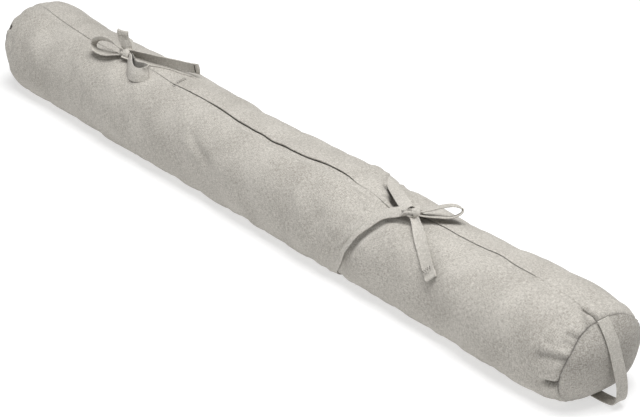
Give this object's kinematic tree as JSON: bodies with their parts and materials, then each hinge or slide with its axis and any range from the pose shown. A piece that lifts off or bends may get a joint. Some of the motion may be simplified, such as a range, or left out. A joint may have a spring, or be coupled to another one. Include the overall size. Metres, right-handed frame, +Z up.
{
  "type": "draught excluder",
  "caption": "Long filled linen tube that lies on the floor against a door, with round end panels, two knotted tape ties and a hanging loop.",
  "frame": {"origin": "on the floor under the middle of the bounding box", "axes": "+X along the tube towards the end with the hanging loop, -Y towards the front flank, +Z up"},
  "size_m": [0.9167, 0.1087, 0.1227],
  "materials": {
    "body_linen": "matte",
    "panel_linen": "matte",
    "tape_linen": "matte"
  },
  "bodies": {
    "root": {"body": "body_linen", "end_panel_near": "panel_linen", "end_panel_far": "panel_linen", "hanging_loop": "tape_linen", "near_tie": "tape_linen", "far_tie": "tape_linen"}
  },
  "joints": []
}
